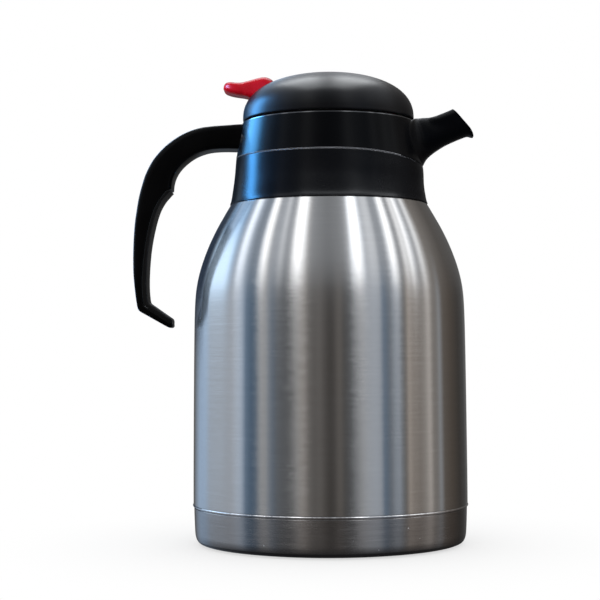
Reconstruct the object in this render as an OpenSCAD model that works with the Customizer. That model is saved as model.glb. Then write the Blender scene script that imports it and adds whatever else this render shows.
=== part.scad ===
// Two litre double-wall vacuum coffee jug with a lever-operated pouring lid.
// Millimetres. +Z up, origin at the centre of the base on the table plane,
// spout towards +X and handle towards -X.
// Points of turned profiles are [radius, z]; points of side outlines are [x, z].

/* [Body] */
// Outside diameter of the steel body just above the base seam
body_d = 150; // [148:0.5:152]
// Sheet thickness of the steel shell and the liner
sheet_t = 0.6; // [0.5:0.1:0.8]
// Height of the seam between the shell and the base cup
seam_z = 20.6; // [19:0.2:22]
// Gap left open at the seam
seam_gap = 0.5; // [0.3:0.1:0.8]

/* [Head] */
// Radius of the joint between the collar and the spout ring
joint_r = 51.05; // [50.8:0.05:51.3]
// Height of that joint on the handle side
joint_z = 210.7; // [209:0.1:211.5]
// How far the joint line drops under the spout
joint_dip = 5; // [3:0.5:5.5]
// Outside radius of the spout ring at its top edge
rim_r = 47.5; // [47.3:0.1:48]
// Wall of the domed cap
wall_t = 2.2; // [1.8:0.1:2.4]
// Width of the spout where it leaves the ring
spout_root_w = 32; // [28:1:34]
// Width of the spout at its mouth
spout_mouth_w = 19; // [17:0.5:22]

/* [Handle] */
// Width of the handle across the grip
handle_w = 20; // [19:0.5:24]
// Thickness of the snap-in cover on the finger side
cover_t = 2.7; // [2.2:0.1:3]

/* [Lid] */
// Outside radius of the domed cap
dome_r = 47.2; // [46.8:0.02:47.24]
// Height of the dome above its lower edge
dome_h = 25.9; // [25.4:0.1:26.4]
// Angle that each bayonet lug covers
lug_angle = 28; // [20:1:32]
// Diameter of the valve stem
stem_d = 6; // [5.6:0.1:6]

/* [Lever] */
// Width of the lever between the ears
lever_w = 16; // [14:0.5:16]
// Width of the thumb pad
thumb_w = 20; // [16:0.5:22]
// Diameter of the pivot pin
pin_d = 3; // [2.6:0.1:3]

/* [Hidden] */

body_r = body_d / 2;
neck_r = body_r - 35;         // outside of the steel neck
lip_r = neck_r - sheet_t;     // inside of the shell at the neck
mouth_z = 217.5;              // top of the steel lip
rim_z = 230.7;                // top of the spout ring
rim_edge_z = rim_z - 0.7;     // where the ring's rounded top edge starts
bore_r = 44.5;                // inside of the spout ring
dome_z = 231.6;               // lower edge of the dome
dome_top = dome_z + dome_h;
deck_top = 230.6;
pivot = [-31, 243.8];         // lever pivot, [x, z]
stem_r = stem_d / 2;
stem_head_z = 237.72;         // underside of the stem's head
stem_step_z = 204.2;          // step in the stem, between valve disc and washer
screw_r = 1.25;
pilot_r = screw_r + 0.02;

// ---------- curves ----------
// Catmull-Rom point between start and end
function curve_point(before, start, end, after, t) =
    0.5 * (2 * start + (end - before) * t
           + (2 * before - 5 * start + 4 * end - after) * t * t
           + (3 * start - before - 3 * end + after) * t * t * t);
// smooth path through the points, with a number of steps for each span
function spline(points, steps = 3) = let (last = len(points) - 1)
    [for (i = [0:last - 1]) for (k = [0:steps - 1])
        curve_point(points[max(i - 1, 0)], points[i], points[i + 1],
                    points[min(i + 2, last)], k / steps),
     points[last]];
function reversed(path) = [for (i = [len(path) - 1:-1:0]) path[i]];
function left_normal(path, i) =
    let (span = path[min(i + 1, len(path) - 1)] - path[max(i - 1, 0)], dir = span / norm(span))
    [-dir[1], dir[0]];
// path moved to the left of its direction
function shift(path, dist) =
    [for (i = [0:len(path) - 1]) path[i] + dist * left_normal(path, i)];
// closed outline between two shifted copies of a path
function strip(path, near, far) = concat(shift(path, near), reversed(shift(path, far)));
function arc(centre, radius, from, to, steps = 8) =
    [for (i = [0:steps]) let (a = from + (to - from) * i / steps)
        centre + radius * [cos(a), sin(a)]];

// ---------- shared shapes ----------
module turned(profile) rotate_extrude($fn = 144) polygon(profile);
module ring(inner, outer, bottom, top)
    turned([[inner, bottom], [outer, bottom], [outer, top], [inner, top]]);
// a plate drawn in the X-Z plane, with its width along Y
module plate(width) rotate([90, 0, 0]) linear_extrude(width, center = true) children();
// four bayonet lugs
module lugs(profile) for (a = [45:90:315]) rotate(a)
    rotate_extrude(angle = lug_angle, start = -lug_angle / 2, $fn = 144) polygon(profile);
// screw head with a cross recess centred at slot_z
module screw_head(radius, height, slot_length, slot_z) difference() {
    cylinder(r = radius, h = height, $fn = 32);
    translate([0, 0, slot_z]) cube([0.7, slot_length, 1.2], center = true);
    translate([0, 0, slot_z]) cube([slot_length, 0.7, 1.2], center = true);
}
// round bar on the lever pivot, along Y from -end_y to end_y
module pivot_bar(end_y, gap = 0) translate([pivot[0], end_y, pivot[1]])
    rotate([90, 0, 0]) cylinder(r = pin_d / 2 + gap, h = 2 * end_y, $fn = 48);
module at_deck_screws(z) for (a = [60, 180, 300]) rotate(a) translate([36.6, 0, z]) children();
// at x, pointing towards -X
module at_handle_screws(x) for (y = [-4.4, 4.4])
    translate([x, y, 223.6]) rotate([0, -90, 0]) children();

// ---------- steel flask ----------
// [distance in from body_r, z], from the seam up to the neck
shell_stations = [
    [0, seam_z + 0.6], [0.1, 50], [0.3, 80], [0.55, 105], [0.85, 123], [1.35, 134],
    [2.25, 141.3], [3.95, 148.8], [6.35, 156.2], [9.35, 163.7], [12.95, 171.2],
    [16.9, 178.3], [20.9, 185.1], [25.2, 191.8], [29.6, 197.6], [32.9, 201.2],
    [34.6, 204], [35, 207]];
shell_path = spline([for (p = shell_stations) [body_r - p[0], p[1]]]);
module outer_shell() color("silver") {
    foot = [[body_r - 0.5, seam_z + 0.1], [body_r - 0.15, seam_z + 0.25]];
    bead = arc([neck_r - 0.2, 214.3], 1.6, -80, 80);
    neck = concat([[neck_r, 212.6]], bead, [[neck_r, 216], [neck_r, mouth_z]]);
    inside = concat([[body_r - sheet_t - 0.02, seam_z + 0.1]], shift(shell_path, sheet_t),
                    [[lip_r, 212.6], [lip_r, mouth_z]]);
    turned(concat(foot, shell_path, neck, reversed(inside)));
}

liner_path = spline([
    [68.6, 20], [68.6, 60], [68.6, 100], [68.6, 122], [68.25, 133], [67.2, 141],
    [65.5, 148.6], [63.1, 156.2], [60.1, 163.7], [56.5, 171.3], [52.6, 178.4], [48.7, 185],
    [44.4, 191.6], [40.6, 196.8], [38.2, 200], [37.2, 203], [37, 206.5]]);
module inner_liner() color("gainsboro") {
    neck = 37;
    flare_r = 1.4;
    flare_z = 215.4;
    flare = [neck + flare_r, flare_z];
    outside = concat(liner_path, [[neck, flare_z]], arc(flare, flare_r, 180, 96, 5),
                     [[lip_r - 0.05, 216.8]]);
    inside = concat(shift(liner_path, sheet_t), [[neck - sheet_t, flare_z]],
                    arc(flare, flare_r + sheet_t, 180, 94, 5),
                    [[lip_r - 0.05, mouth_z - 0.05]]);
    turned(concat(outside, reversed(inside)));
}

module liner_bottom() color("gainsboro") {
    underside = concat([[0, 16], [24, 15.7], [40, 15.2], [56, 14.6]],
                       arc([62.3, 20.2], 5.64, -95, 0), [[67.94, 26]]);
    turned(strip(underside, 0, sheet_t));
}

module vacuum_pan() color("silver") {
    wall_r = body_r - sheet_t - 0.08;
    underside = concat([[1.5, 6.6], [6, 6.6], [9, 8], [30, 8.2], [60, 8.4]],
                       arc([70, 11.5], 3.1, -88, 0, 6),
                       [[73.1, 27.8], [wall_r, 29.6], [wall_r, 36]]);
    turned(strip(underside, 0, sheet_t));
}

// fills the hole in the middle of the vacuum pan
module seal_bead() color("dimgray")
    turned(concat([[0, 8.2], [1.44, 8.2], [1.44, 6.55]], arc([0, 6.55], 2.8, 0, -90)));

module getter() color("gray") translate([24, 0, 8.8]) union() {
    cylinder(r = 5, h = 2.2, $fn = 48);
    translate([-8, -1.5, 0.03]) cube([16, 3, 0.5]);
}

module base_cup() color("silver") {
    thick = 0.7;
    floor_z = 1.4;
    cup_top = 26.8;           // the cup's rim runs up inside the shell
    edge_z = seam_z - seam_gap;
    side = spline([[70.6, 0.62], [72.2, 1.3], [73.35, 2.6], [body_r - 1.05, 4.6],
                   [body_r - 0.85, 6.5], [body_r - 0.62, 11], [body_r - 0.42, 17],
                   [body_r - 0.38, edge_z - 0.5]], 2);
    outside = concat([[0, floor_z], [67.6, floor_z], [68.2, 0.7], [69.6, 0.6]], side,
                     [[body_r - 0.55, edge_z], [body_r - 0.68, edge_z + 0.05],
                      [body_r - 0.7, edge_z + 0.3], [body_r - 0.7, cup_top]]);
    inside = [[0, floor_z + thick], [68.2, floor_z + thick], [69.6, 1.4], [71.4, 2.2],
              [72.6, 3.8], [body_r - 1.65, 5.4], [body_r - 1.5, 8], [body_r - 1.4, 17],
              [body_r - 1.4, cup_top]];
    turned(concat(outside, reversed(inside)));
}

module foot_pad() color("black")
    turned([[0, 0], [52.6, 0], [53.1, 0.5], [55.4, 0.5], [55.9, 0], [66.4, 0],
            [66.8, 0.4], [66.8, 1.36], [0, 1.36]]);

// ---------- head ----------
// height of the joint between the collar and the spout ring, as seen along Y
function joint_at(x) =
    joint_z - (x > 0 ? joint_dip * pow(min(x / joint_r, 1), 2.5) : 0);
joint_low = joint_at(joint_r);
joint_line = concat([[-60, joint_z]], [for (x = [0:5:50]) [x, joint_at(x)]],
                    [[joint_r + 0.05, joint_low], [90, joint_low]]);
module below_joint(gap = 0) plate(140)
    polygon(concat([[90, 150], [-60, 150]], [for (p = joint_line) p - [0, gap]]));

// eases from 0 at z = 192 to 1 at z = 204.5
function swell_at(z) =
    let (share = min(max((z - 192) / 12.5, 0), 1)) share * share * (3 - 2 * share);
module collar() color([0.07, 0.07, 0.08]) {
    swell = 1.1;
    outside = spline([[54.5, 185.5], [53.65, 189.8], [52.8, 194.2], [52.12, 198.6],
                      [51.66, 203], [51.32, 207], [joint_r + 0.02, 211.4]], 2);
    swollen = [for (p = outside) if (p[1] > 194) [p[0] - swell + swell * swell_at(p[1]), p[1]]];
    union() {
        intersection() {
            turned(concat(outside, [[48.9, 211.4], [49, 203.5], [49.2, 196], [49.9, 193.2],
                                    [51.2, 191], [53.1, 187.7], [54.25, 185.4]]));
            below_joint(0.05);
        }
        // the collar swells a little under the spout
        intersection() {
            translate([1, 0, 0])
                turned(concat(swollen, [[50.1, 211.4], [50.1, 196], [50.6, 194.2]]));
            below_joint(0.05);
        }
        // inner tube with a flange reaching in to the neck
        turned([[45, 201.5], [49.4, 201.5], [49.4, 203.5], [47, 203.5], [47, 218.4],
                [45, 218.4], [45, 212.3], [40.3, 212.3], [40.3, 210.2], [45, 208.6]]);
    }
}

module neck_gasket() color("white") {
    seat_z = mouth_z + 0.04;
    inner = 37.3;
    top = 218.95;
    turned([[inner, seat_z], [neck_r + 0.15, seat_z], [neck_r + 0.15, 216.4], [42, 216.4],
            [42.4, seat_z], [44.6, seat_z], [44.6, top], [inner, top]]);
}

// elliptical slice of the spout; station is [x, bottom z, top z, width]
module slice(station) {
    width = station[3];
    translate([station[0], 0, (station[1] + station[2]) / 2]) rotate([0, 90, 0])
        linear_extrude(0.2, center = true)
            scale([(station[2] - station[1]) / width, 1]) circle(d = width, $fn = 32);
}
module loft(stations) for (i = [0:len(stations) - 2]) hull() {
    slice(stations[i]);
    slice(stations[i + 1]);
}
spout_stations = [
    [44, 206.5, 232.4, spout_root_w + 4],
    [54, 211, 232.9, spout_root_w - 5],
    [65, 218.4, 236.3, spout_mouth_w + 2],
    [78.4, 222.9, 241.4, spout_mouth_w]];
channel_stations = [
    [42.5, 222.2, 230, 30],
    [56, 220, 230.6, 20],
    [82, 225.6, 241.5, spout_mouth_w - 4]];
mouth_line = [[68.4, 237.75], [73.4, 231.3], [77.4, 226.7], [79.2, 224], [79.8, 222.6]];

module ring_wall() difference() {
    union() {
        turned([[47.2, 200], [joint_r + 0.3, 200], [joint_r, joint_z], [rim_r, rim_edge_z],
                [rim_r - 0.25, rim_z - 0.2], [rim_r - 0.8, rim_z], [bore_r, rim_z],
                [bore_r, 221.5], [38.2, 221.5], [38.2, 219], [47.2, 219]]);
        // swell that follows the collar's
        translate([1, 0, 0])
            turned([[48.5, 200], [joint_r + 0.3, 200], [joint_r + 0.14, 206],
                    [joint_r - 0.5, 209.5], [joint_r - 1.4, 213.5], [48.5, 216]]);
    }
    below_joint();
}
module spout() difference() {
    loft(spout_stations);
    // keep clear of the collar's tube and of the dome's edge
    cylinder(r = 45.5, h = 400, $fn = 96);
    cylinder(r = 47.2, h = 219, $fn = 96);
    translate([0, 0, rim_z - 0.05]) cylinder(r = rim_r - 0.1, h = 20, $fn = 96);
    // mouth cut
    plate(60) polygon(concat([[56.5, 253]], mouth_line, [[79.4, 220], [95, 215], [95, 260]]));
    // flat on top at the root
    translate([40, -30, 232.95]) cube([11, 60, 8]);
}
module spout_ring() color([0.05, 0.05, 0.055]) difference() {
    union() {
        ring_wall();
        lugs([[42.9, 224.9], [bore_r + 0.3, 224.9], [bore_r + 0.3, 227], [42.9, 227]]);
        spout();
        // drip lip
        plate(9) polygon([[74.4, 224], [76.6, 226.9], [77.4, 226.7], [79.2, 224],
                          [79.8, 222.8], [79, 222], [76.8, 222.5], [74.2, 222.2]]);
    }
    loft(channel_stations);
    // socket and screw holes for the handle
    translate([-49.5, 0, 222.9]) cube([4.6, 14.2, 9.2], center = true);
    at_handle_screws(-43) {
        cylinder(r = 1.45, h = 12, $fn = 32);
        cylinder(r = 2.4, h = 3.2, $fn = 32);
    }
}

// ---------- handle ----------
// The side outlines are scaled about mid-height, the inner ones up and the outer ones down.
inner_scale = 1.0112;
outer_scale = 1 / 1.0055;
mid = [0, 105.4];
function eased(path, factor) = [for (p = path) mid + (p - mid) * factor];

// from the top of the ring over the back of the grip and down
handle_outer = eased(spline([
    [-46, 230.9], [-50, 230.4], [-57, 229.9], [-64.5, 229.45], [-71.5, 228.4],
    [-78.5, 226.1], [-85.3, 222.3], [-91.5, 217.3], [-97, 210.9], [-101.1, 203.2],
    [-104.2, 193.4], [-106.3, 182.5], [-107.6, 171], [-108.2, 158.5], [-107.9, 146],
    [-107, 136.5], [-106.1, 130.9], [-105.4, 128.2], [-103.8, 126.6]]), outer_scale);
handle_foot = concat(
    eased([[-95, 121.6], [-90, 118.7], [-88.3, 117.95], [-87.9, 117.95]], outer_scale),
    eased([[-85.8, 119.8], [-85.25, 120.9], [-85.3, 122.2]], inner_scale));
// finger side, upwards
handle_inner = eased(spline([
    [-85.9, 122.9], [-90.2, 125.8], [-94.6, 128.95], [-97.9, 131.2], [-98.6, 133.4],
    [-98.95, 140.3], [-99, 147], [-98.6, 153.6], [-97.9, 160.2], [-96.8, 166.8],
    [-95.5, 173.3], [-93.6, 180], [-91.3, 185.2], [-88.3, 189.2], [-85.9, 191.4]]), inner_scale);
// underside of the top arm, back to the ring
handle_arm = eased(concat([[-85.25, 192.4]], spline([
    [-85.3, 193.4], [-85, 196.6], [-84.1, 199.9], [-82.3, 203.3], [-79.6, 206.5],
    [-75.8, 209.7], [-71.5, 212.2], [-66.5, 213.9], [-61, 214.7], [-54, 214.75],
    [-46, 214.6]])), inner_scale);

// the spout ring's surface, moved out by a hair, that the handle's root sits against
function root_r(z) =
    joint_r + 0.06 - (z - joint_z) * (joint_r - rim_r) / (rim_edge_z - joint_z);
module handle_root_cut()
    turned([[0, 200], [root_r(200), 200], [root_r(rim_edge_z), rim_edge_z],
            [root_r(rim_edge_z), 236], [0, 236]]);

module handle() color([0.04, 0.04, 0.045]) difference() {
    union() {
        difference() {
            plate(handle_w)
                polygon(concat(handle_outer, handle_foot, handle_inner, handle_arm));
            handle_root_cut();
        }
        // tongue
        translate([-48.9, 0, 222.9]) cube([3, 14, 9], center = true);
    }
    // strip for the cover, and the hollow behind it
    plate(handle_w + 2) polygon(strip(handle_inner, -0.6, cover_t + 0.06));
    hollow_back = [for (i = [12:len(handle_inner) - 4]) handle_inner[i]];
    plate(handle_w - 5)
        polygon(concat(shift(handle_inner, cover_t - 1), reversed(shift(hollow_back, 4.5))));
    at_handle_screws(-43) cylinder(r = pilot_r, h = 17, $fn = 32);
}
module handle_cover() color([0.06, 0.06, 0.065])
    plate(handle_w - 0.4) polygon(strip(handle_inner, 0, cover_t));
module handle_screws() color("silver") at_handle_screws(-46.1) union() {
    cylinder(r = screw_r, h = 12.5, $fn = 32);
    translate([0, 0, -1.3]) screw_head(2.3, 1.35, slot_length = 3, slot_z = -0.1);
}

// ---------- lid ----------
module lid_plug() color([0.10, 0.10, 0.11]) difference() {
    union() {
        turned([[11, 199.5], [33.6, 199.5], [34.6, 200.5], [34.6, 203], [33.2, 203],
                [33.2, 212], [34.6, 212], [34.6, 220.6], [36.4, 221.9], [42.4, 221.9],
                [42.4, 227.5], [41.4, 227.5], [41.4, 230.6], [42.4, 230.6], [42.4, 231.5],
                [44.8, 231.7], [44.8, 233.4], [40.1, 233.4], [40.1, 228.35], [38.5, 228.35],
                [38.5, 227.3], [40.1, 226.6], [40.1, 223.9], [35.2, 223.9], [32.4, 221.2],
                [31, 214], [31, 203.2], [29.4, 201.6], [13.2, 201.6], [12.9, 202.5],
                [11, 202.5]]);
        lugs([[42.2, 222.3], [44.2, 222.6], [44.2, 224.6], [42.2, 224.6]]);
        at_deck_screws(223.5) cylinder(r = 2.8, h = 4.85, $fn = 32);
    }
    // pouring window towards the spout
    translate([30, -18, 223.9]) cube([16, 36, 3.3]);
    at_deck_screws(224.6) cylinder(r = pilot_r, h = 5, $fn = 32);
}
module plug_seal() color([0.85, 0.85, 0.83])
    turned([[33.25, 203.05], [34.7, 203.05], [36.1, 204.2], [36.3, 205.2], [35.6, 206.1],
            [35, 207.4], [36.1, 209], [36.3, 210], [35.4, 211], [34.7, 211.95],
            [33.25, 211.95]]);
module lid_o_ring() color([0.85, 0.85, 0.83])
    rotate_extrude($fn = 144) translate([42.95, 229.05]) circle(r = 1.45, $fn = 32);

module lid_deck() color([0.12, 0.12, 0.13]) difference() {
    union() {
        ring(stem_r + 0.05, 39.9, 228.4, deck_top);
        ring(stem_r + 0.05, 5.6, 228.4, 231.2);
        // cup under the deck that holds the stem seal
        ring(5.2, 7.4, 225.6, 229);
        ring(4.3, 7.4, 225, 225.7);
        // ears for the lever pin
        ear_foot_z = deck_top - 0.1;
        for (side = [-1, 1]) translate([0, side * 9.55, 0]) plate(2.5)
            polygon(concat(arc(pivot, 4.2, 0, 180, 12),
                           [[pivot[0] - 5.4, ear_foot_z], [pivot[0] + 5.4, ear_foot_z]]));
    }
    for (side = [-1, 1]) translate([pivot[0], side * 12, pivot[1]]) rotate([side * 90, 0, 0])
        cylinder(r = pin_d / 2 + 0.02, h = 8, $fn = 48);
    at_deck_screws(220) cylinder(r = 1.5, h = 20, $fn = 32);
}
module deck_screws() color("silver") at_deck_screws(0) union() {
    translate([0, 0, 224.8]) cylinder(r = screw_r, h = 6, $fn = 32);
    translate([0, 0, deck_top + 0.05]) screw_head(2.5, 1.5, slot_length = 3.2, slot_z = 1.5);
}
module stem_seal() color([0.85, 0.85, 0.83])
    rotate_extrude($fn = 72) translate([stem_r + 1.12, 227.2]) circle(r = 1.05, $fn = 32);

// superellipse quarter from its foot at height z up to the last angle
function dome_curve(radius, height, z, last) = [for (a = [0:5:last])
    [radius * pow(cos(a), 2 / 2.24), z + height * pow(sin(a), 2 / 2.363)]];
module dome_cap() color([0.08, 0.08, 0.085]) difference() {
    edge_h = 1.2;
    foot_h = 2;               // straight part of the inside
    ceiling = dome_top - 2.4;
    outside = concat([[dome_r - 0.25, dome_z], [dome_r, dome_z + 0.35]],
                     dome_curve(dome_r, dome_h - edge_h, dome_z + edge_h, 85),
                     [[0, dome_top]]);
    inside = concat([[44.95, dome_z], [44.95, dome_z + foot_h]],
                    dome_curve(dome_r - wall_t, dome_h - wall_t - foot_h, dome_z + foot_h, 75),
                    [[7.2, ceiling], [0, ceiling]]);
    union() {
        turned(concat(outside, reversed(inside)));
        // collar around the top of the spring
        ring(5.5, 7.1, 250.5, dome_top - 2.2);
    }
    // slot for the lever
    translate([-60, -lever_w / 2 - 0.5, 240.3]) cube([32.4, lever_w + 1, 30]);
}

// rise of the spring's wire: gentler over a share of the length at each end
end_share = 0.12;
end_slope = 0.45;
end_rise = end_share * end_slope;
function spring_rise(u) =
    u < end_share ? u * end_slope
    : u > 1 - end_share ? 1 - (1 - u) * end_slope
    : end_rise + (u - end_share) * (1 - 2 * end_rise) / (1 - 2 * end_share);
module return_spring() color("silver") {
    coil_r = 4.3;
    wire_r = 0.45;
    bottom = 240.85;
    top = 254.55;
    turn_steps = 20;
    steps = 6 * turn_steps;   // six turns
    sides = 8;
    points = [for (i = [0:steps])
        let (a = i * 360 / turn_steps, z = bottom + (top - bottom) * spring_rise(i / steps))
        for (k = [0:sides - 1]) let (b = 360 * k / sides, r = coil_r + wire_r * cos(b))
            [r * cos(a), r * sin(a), z + wire_r * sin(b)]];
    walls = [for (i = [0:steps - 1]) for (k = [0:sides - 1])
        let (low = i * sides, high = low + sides, next = (k + 1) % sides)
            [low + k, high + k, high + next, low + next]];
    start_cap = [for (k = [0:sides - 1]) k];
    end_cap = [for (k = [sides - 1:-1:0]) steps * sides + k];
    polyhedron(points, concat([start_cap], walls, [end_cap]));
}

module lever_pin() color("silver") pivot_bar(11.4);

// both from the thumb end or the stem end, so that they join into one outline
lever_top = spline([
    [-57.6, 249.8], [-57.3, 251.7], [-56.1, 253], [-54, 253.45], [-51.3, 253.3],
    [-48.6, 253.2], [-45.3, 253.7], [-41.8, 254.75], [-38.4, 255.65], [-35.3, 256],
    [-32.5, 255.6], [-30.3, 254], [-28.9, 251.2], [-27.2, 247.4], [-24.2, 243.4],
    [-19.6, 240.1], [-14, 238], [-9, 237.2], [-5.5, 237.1], [-2.6, 236.9]], 2);
lever_under = spline([
    [-3, 231.9], [-8, 231.9], [-14, 232.6], [-20, 235], [-26, 238.4], [-32, 240.5],
    [-38.4, 242.7], [-43.4, 244.5], [-48, 245.5], [-51.4, 246.05], [-54.6, 246.9],
    [-56.7, 248.1]], 2);
module lever_plate(width) plate(width) polygon(concat(lever_top, lever_under));
module thumb_lever() color([0.72, 0.04, 0.09]) difference() {
    union() {
        lever_plate(lever_w);
        plate(lever_w) translate([0, 234.6]) circle(r = 3, $fn = 48);
        // wider thumb pad
        intersection() {
            lever_plate(thumb_w);
            translate([-64, -15, 241]) cube([15.6, 30, 16]);
        }
    }
    // fork around the stem
    translate([-6.2, -stem_r - 0.3, 225]) cube([14, stem_d + 0.6, 20]);
    pivot_bar(12, gap = 0.06);
}

// ---------- valve ----------
module valve_stem() color([0.85, 0.85, 0.82])
    turned([[0, 200.6], [stem_r - 0.6, 200.6], [stem_r - 0.2, 201],
            [stem_r - 0.2, stem_step_z], [stem_r, stem_step_z], [stem_r, stem_head_z],
            [5.8, stem_head_z], [6.2, stem_head_z + 0.4], [6.2, 240.2], [5.9, 240.35],
            [3.4, 240.35], [3.2, 242.6], [2.6, 243.2], [0, 243.2]]);
module valve_disc() color([0.12, 0.12, 0.13])
    turned([[stem_r + 0.02, stem_step_z + 0.05], [13.5, stem_step_z + 0.05], [13.5, 205.6],
            [12.6, 206.4], [6, 207.4], [5, 211], [stem_r + 0.02, 211]]);
module valve_washer() color([0.85, 0.85, 0.83])
    turned([[stem_r, 202.55], [14.6, 202.55], [15, 203], [15, 203.9],
            [14.6, stem_step_z], [stem_r, stem_step_z]]);
module valve_cap() color([0.12, 0.12, 0.13])
    turned([[stem_r - 0.18, 201], [5.4, 201], [6, 201.5], [6, 202.5], [stem_r - 0.18, 202.5]]);

outer_shell();
inner_liner();
liner_bottom();
vacuum_pan();
seal_bead();
getter();
base_cup();
foot_pad();
collar();
neck_gasket();
spout_ring();
handle();
handle_cover();
handle_screws();
lid_plug();
plug_seal();
lid_o_ring();
lid_deck();
deck_screws();
stem_seal();
dome_cap();
return_spring();
lever_pin();
thumb_lever();
valve_stem();
valve_disc();
valve_washer();
valve_cap();
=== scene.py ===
"""Vacuum jug: brushed steel body, black head with spout, handle and dome, red thumb lever.

The jug stands on z = 0 with its axis on Z. The spout points to +X, the handle and the
lever's pad to -X, and the camera looks from -Y. Shapes are in millimetres; materials, lights,
camera and floor are in metres.
"""
import math

import bmesh
import bpy
from mathutils import Matrix, Vector


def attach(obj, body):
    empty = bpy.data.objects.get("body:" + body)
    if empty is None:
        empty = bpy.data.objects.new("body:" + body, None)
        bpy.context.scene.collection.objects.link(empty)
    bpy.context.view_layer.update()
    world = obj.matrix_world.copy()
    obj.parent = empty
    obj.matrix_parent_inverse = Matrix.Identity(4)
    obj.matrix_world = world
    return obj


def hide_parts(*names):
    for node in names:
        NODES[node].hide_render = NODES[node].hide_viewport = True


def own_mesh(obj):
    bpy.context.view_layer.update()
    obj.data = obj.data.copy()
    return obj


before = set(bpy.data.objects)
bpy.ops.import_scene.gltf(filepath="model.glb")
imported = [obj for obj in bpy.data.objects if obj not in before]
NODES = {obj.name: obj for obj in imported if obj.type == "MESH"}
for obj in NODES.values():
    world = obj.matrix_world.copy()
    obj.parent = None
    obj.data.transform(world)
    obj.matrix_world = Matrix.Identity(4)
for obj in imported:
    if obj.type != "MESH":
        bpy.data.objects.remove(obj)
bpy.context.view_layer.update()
MM = 0.001
scene = bpy.context.scene


# ------------------------------------------------------------------ curves
def between(points, i, t):
    """Catmull-Rom point at fraction t between points[i] and points[i + 1]."""
    near = [points[min(max(k, 0), len(points) - 1)] for k in range(i - 1, i + 3)]
    return tuple(0.5 * (2 * start + (end - before) * t
                        + (2 * before - 5 * start + 4 * end - after) * t * t
                        + (3 * start - before - 3 * end + after) * t ** 3)
                 for before, start, end, after in zip(*near))


def spline(points, steps):
    curve = [between(points, i, k / steps) for i in range(len(points) - 1) for k in range(steps)]
    return curve + [tuple(points[-1])]


def arc(center_r, center_z, radius, start, end, steps):
    """Points from angle start to angle end, in degrees."""
    angles = [math.radians(start + (end - start) * i / steps) for i in range(steps + 1)]
    return [(center_r + radius * math.cos(a), center_z + radius * math.sin(a)) for a in angles]


def offset_left(line, distance):
    """Moves a line of (r, z) points to its left."""
    moved = []
    for i, (r, z) in enumerate(line):
        r0, z0 = line[max(i - 1, 0)]
        r1, z1 = line[min(i + 1, len(line) - 1)]
        length = math.hypot(r1 - r0, z1 - z0) or 1
        moved.append((r - (z1 - z0) / length * distance, z + (r1 - r0) / length * distance))
    return moved


def rounded_rect(u0, u1, half_width, r0, r1, steps=5):
    """Loop of (u, v): u from u0 to u1, corner radius r0 at u0 and r1 at u1."""
    loop = []
    for cu, cv, radius, start in ((u1 - r1, half_width - r1, r1, 0),
                                  (u0 + r0, half_width - r0, r0, 90),
                                  (u0 + r0, -(half_width - r0), r0, 180),
                                  (u1 - r1, -(half_width - r1), r1, 270)):
        loop += arc(cu, cv, radius, start, start + 90, steps)
    return loop


def squared(value, power):
    """Sine or cosine reshaped for a superellipse of this power."""
    return math.copysign(abs(value) ** (2 / power), value)


# ------------------------------------------------------------------ meshes
def shade(ob, angle):
    """Smooth shading, with edges steeper than angle (degrees) left sharp."""
    me = ob.data
    me.polygons.foreach_set("use_smooth", [True] * len(me.polygons))
    me.set_sharp_from_angle(angle=math.radians(angle))


def new_object(name, bm, angle):
    bmesh.ops.recalc_face_normals(bm, faces=bm.faces)
    me = bpy.data.meshes.new(name)
    bm.to_mesh(me)
    bm.free()
    ob = bpy.data.objects.new(name, me)
    scene.collection.objects.link(ob)
    shade(ob, angle)
    return ob


def new_vert(bm, x, y, z):
    return bm.verts.new((x * MM, y * MM, z * MM))


def lathe_bm(profile, segments, warp=None):
    """Turns a closed outline of (r, z) points about Z.

    warp(i, x, y, z) gives what point i's radius grows by, and its new z.
    """
    bm = bmesh.new()
    rings = []
    for i, (r, z) in enumerate(profile):
        if r < 1e-4:
            rings.append([new_vert(bm, 0, 0, z)])
            continue
        ring = []
        for s in range(segments):
            angle = 2 * math.pi * s / segments
            x, y, new_z = r * math.cos(angle), r * math.sin(angle), z
            if warp:
                grow, new_z = warp(i, x, y, z)
                x, y = x * (r + grow) / r, y * (r + grow) / r
            ring.append(new_vert(bm, x, y, new_z))
        rings.append(ring)
    for a, b in zip(rings, rings[1:] + rings[:1]):
        if len(a) == 1 and len(b) == 1:
            continue
        for s in range(segments):
            t = (s + 1) % segments
            if len(a) == 1:
                bm.faces.new((a[0], b[s], b[t]))
            elif len(b) == 1:
                bm.faces.new((a[s], b[0], a[t]))
            else:
                bm.faces.new((a[s], a[t], b[t], b[s]))
    return bm


def loft_bm(sections):
    """Closed solid through loops that all have the same number of points."""
    bm = bmesh.new()
    rings = [[new_vert(bm, *point) for point in section] for section in sections]
    count = len(rings[0])
    for a, b in zip(rings, rings[1:]):
        for k in range(count):
            q = (k + 1) % count
            bm.faces.new((a[k], a[q], b[q], b[k]))
    for ring in (rings[0], rings[-1]):
        total = Vector((0, 0, 0))
        for vert in ring:
            total += vert.co
        middle = bm.verts.new(total / count)
        for k in range(count):
            bm.faces.new((ring[k], ring[(k + 1) % count], middle))
    return bm


def box_bm(low, high):
    bm = bmesh.new()
    verts = [new_vert(bm, x, y, z) for x in (low[0], high[0]) for y in (low[1], high[1])
             for z in (low[2], high[2])]
    for face in ((0, 1, 3, 2), (4, 6, 7, 5), (0, 4, 5, 1), (2, 3, 7, 6), (0, 2, 6, 4), (1, 5, 7, 3)):
        bm.faces.new([verts[i] for i in face])
    return bm


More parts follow.
